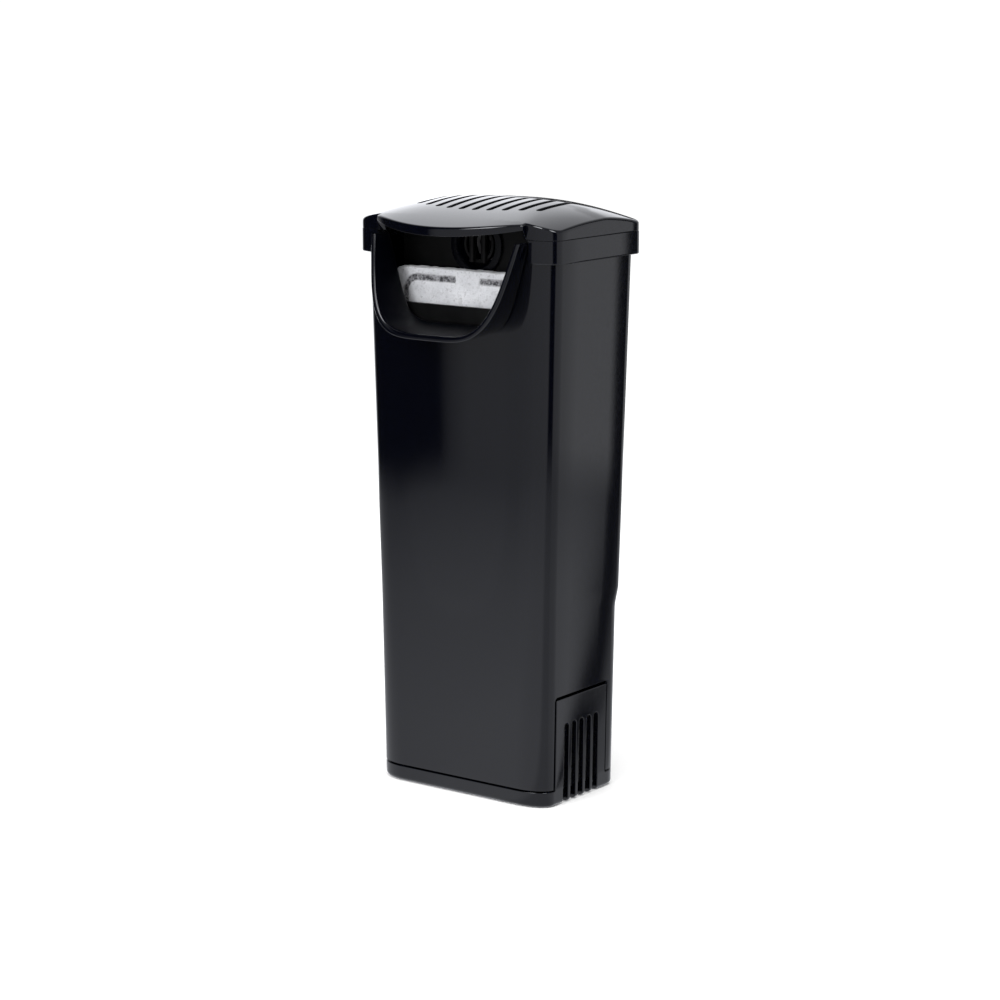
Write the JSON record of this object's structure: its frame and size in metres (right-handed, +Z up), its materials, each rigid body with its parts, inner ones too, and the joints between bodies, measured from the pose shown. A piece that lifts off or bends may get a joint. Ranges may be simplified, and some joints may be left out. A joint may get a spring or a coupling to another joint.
{
  "type": "internal power filter",
  "caption": "Small submersible waterfall filter: tapered box with a slotted domed lid, U-shaped spout, side intake slots, media cassette and a drop-out pump base.",
  "frame": {"origin": "centre of the foot, on the flat underside of the base tray", "axes": "+Z up along the housing, -Y out of the spout, +X to the right seen from behind the glass looking at the spout's back"},
  "size_m": [0.0832, 0.0723, 0.2034],
  "materials": {
    "black_gloss": "glossy moulded black plastic",
    "black_satin": "satin moulded black plastic",
    "grey_moulding": "satin dark grey plastic",
    "black_rubber": "soft black rubber",
    "clear_rubber": "milky translucent soft rubber",
    "floss_white": "white polyester filter floss",
    "sponge_black": "open black filter foam",
    "sponge_blue": "fine blue filter foam",
    "carbon_bag": "dark mesh bag of carbon grains",
    "bioceramic": "porous fired ceramic",
    "white_ceramic": "polished white ceramic",
    "ferrite": "coated ferrite magnet",
    "steel": "stainless steel"
  },
  "bodies": {
    "housing": {"body_shell": "black_gloss", "spout_scoop": "black_gloss", "suction_cup_upper_left": "clear_rubber", "suction_cup_upper_right": "clear_rubber", "suction_cup_lower_left": "clear_rubber", "suction_cup_lower_right": "clear_rubber", "cable_grommet": "black_rubber"},
    "media_cassette": {"media_basket": "black_satin", "baffle_panel": "black_satin", "floss_pad": "floss_white", "coarse_sponge": "sponge_black", "carbon_pouch_left": "carbon_bag", "carbon_pouch_right": "carbon_bag", "fine_sponge": "sponge_blue", "riser_tube": "grey_moulding", "outlet_nozzle": "black_gloss", "outlet_vanes": "black_satin", "ceramic_ring_1": "bioceramic", "ceramic_ring_2": "bioceramic", "ceramic_ring_3": "bioceramic", "ceramic_ring_4": "bioceramic", "ceramic_ring_5": "bioceramic", "ceramic_ring_6": "bioceramic", "ceramic_ring_7": "bioceramic", "ceramic_ring_8": "bioceramic"},
    "lid_cover": {"lid": "black_gloss"},
    "pump_base": {"base_tray": "black_gloss", "motor_housing": "black_satin", "volute_cover": "black_satin", "volute_seal": "black_rubber", "rotor_shaft": "white_ceramic", "shaft_bush_rear": "black_rubber", "shaft_bush_front": "black_rubber", "riser_coupling": "black_rubber", "cable_gland": "black_rubber", "intake_sponge_left": "sponge_black", "intake_sponge_right": "sponge_black", "cover_screw_1": "steel", "cover_screw_2": "steel", "cover_screw_3": "steel", "cover_screw_4": "steel"},
    "rotor": {"rotor_magnet": "ferrite", "impeller": "grey_moulding"},
    "flow_control": {"flow_dial": "grey_moulding"}
  },
  "joints": [
    {"name": "cassette_lift", "type": "slide", "parent": "housing", "child": "media_cassette", "axis": [0, 0, 1], "range_m": [0, 0.15]},
    {"name": "lid_lift", "type": "slide", "parent": "media_cassette", "child": "lid_cover", "axis": [0, 0, 1], "range_m": [0, 0.04]},
    {"name": "base_pull", "type": "slide", "parent": "housing", "child": "pump_base", "axis": [0, 0, -1], "range_m": [0, 0.058]},
    {"name": "rotor_spin", "type": "hinge", "parent": "pump_base", "child": "rotor", "pos_m": [0, 0, 0.027], "axis": [0, 1, 0], "continuous": true},
    {"name": "dial_turn", "type": "hinge", "parent": "pump_base", "child": "flow_control", "pos_m": [0, 0.0158, 0.027], "axis": [0, 1, 0], "range_deg": [0, 45]}
  ]
}
